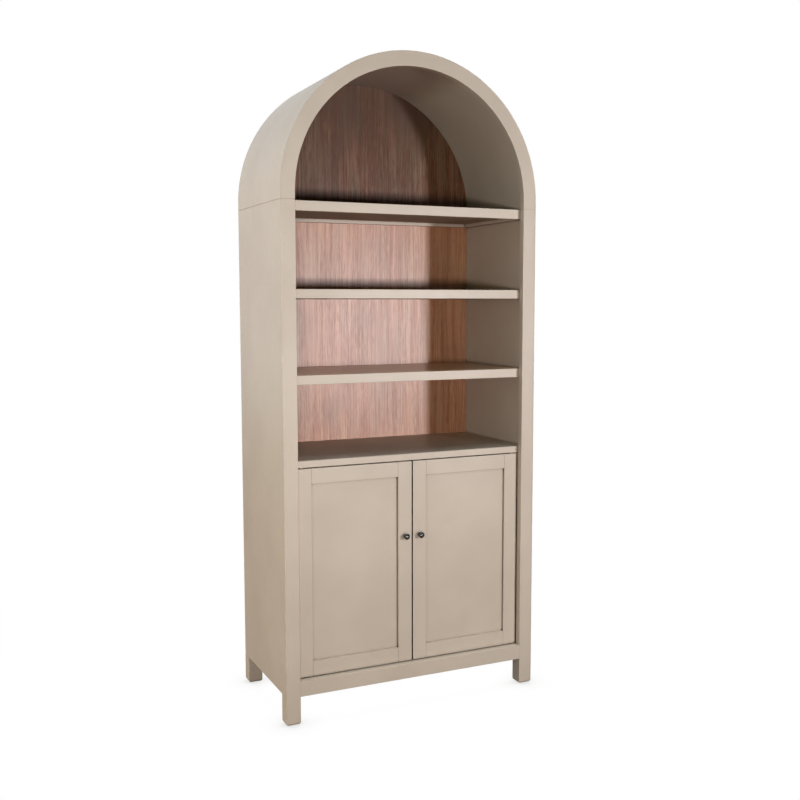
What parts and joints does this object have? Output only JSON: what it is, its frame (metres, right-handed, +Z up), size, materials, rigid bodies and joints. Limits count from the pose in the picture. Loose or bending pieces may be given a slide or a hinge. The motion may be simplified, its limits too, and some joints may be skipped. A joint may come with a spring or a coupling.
{
  "type": "arched cabinet",
  "caption": "Tall painted display cabinet on short legs, with shaker doors below, open shelves above and a half-round arched top with a wood-faced back.",
  "frame": {"origin": "on the floor, under the middle of the cabinet", "axes": "+X to the cabinet's right as seen from the front, +Y to the back, +Z up; the doors face -Y"},
  "size_m": [0.914, 0.46, 2.15],
  "materials": {
    "painted_wood": "satin greige paint",
    "wood_veneer": "satin, fine upright grain",
    "bare_wood": "raw beech",
    "dark_bronze": "satin dark bronze",
    "steel": "zinc plated",
    "zinc": "die cast",
    "brass": "machined",
    "black_plastic": "moulded"
  },
  "bodies": {
    "carcass": {"front_post_left": "painted_wood", "front_post_right": "painted_wood", "front_leg_block_left": "painted_wood", "front_leg_block_right": "painted_wood", "rear_leg_left": "painted_wood", "rear_leg_right": "painted_wood", "side_panel_left": "painted_wood", "side_panel_right": "painted_wood", "hinge_batten_left": "painted_wood", "hinge_batten_right": "painted_wood", "fixed_shelf_side_cleat_left": "painted_wood", "fixed_shelf_side_cleat_right": "painted_wood", "bottom_front_rail": "painted_wood", "bottom_rear_rail": "painted_wood", "bottom_panel": "painted_wood", "cabinet_top": "painted_wood", "display_shelf_lower": "painted_wood", "display_shelf_upper": "painted_wood", "cabinet_shelf": "painted_wood", "fixed_shelf_panel": "painted_wood", "fixed_shelf_front_lip": "painted_wood", "fixed_shelf_rear_cleat": "painted_wood", "arch_face_ring": "painted_wood", "arch_shell": "painted_wood", "display_back_panel": "wood_veneer", "cabinet_back_panel": "wood_veneer", "arch_back_panel": "wood_veneer", "pivot_plates": "steel", "pivot_plate_screws": "steel", "thrust_washers": "black_plastic", "catch_housings": "black_plastic", "catch_magnets": "steel", "catch_screws": "steel", "shelf_pins": "steel", "carcass_dowels": "bare_wood", "rail_dowels": "bare_wood", "leg_screws": "steel", "leg_glides": "black_plastic", "back_panel_nails": "steel", "arch_dowels": "bare_wood", "arch_cam_bolts": "steel", "arch_cam_locks": "zinc"},
    "door_left": {"door_outer_stile_left": "painted_wood", "door_inner_stile_left": "painted_wood", "door_top_rail_left": "painted_wood", "door_bottom_rail_left": "painted_wood", "door_panel_left": "painted_wood", "door_knob_left": "dark_bronze", "knob_screw_left": "steel", "strike_plate_left": "steel", "pivot_bushes_left": "brass"},
    "door_right": {"door_outer_stile_right": "painted_wood", "door_inner_stile_right": "painted_wood", "door_top_rail_right": "painted_wood", "door_bottom_rail_right": "painted_wood", "door_panel_right": "painted_wood", "door_knob_right": "dark_bronze", "knob_screw_right": "steel", "strike_plate_right": "steel", "pivot_bushes_right": "brass"}
  },
  "joints": [
    {"name": "door_left_swing", "type": "hinge", "parent": "carcass", "child": "door_left", "pos_m": [-0.388, -0.197, 0.4865], "axis": [0, 0, -1], "range_deg": [0, 105]},
    {"name": "door_right_swing", "type": "hinge", "parent": "carcass", "child": "door_right", "pos_m": [0.388, -0.197, 0.4865], "axis": [0, 0, 1], "range_deg": [0, 105]}
  ]
}
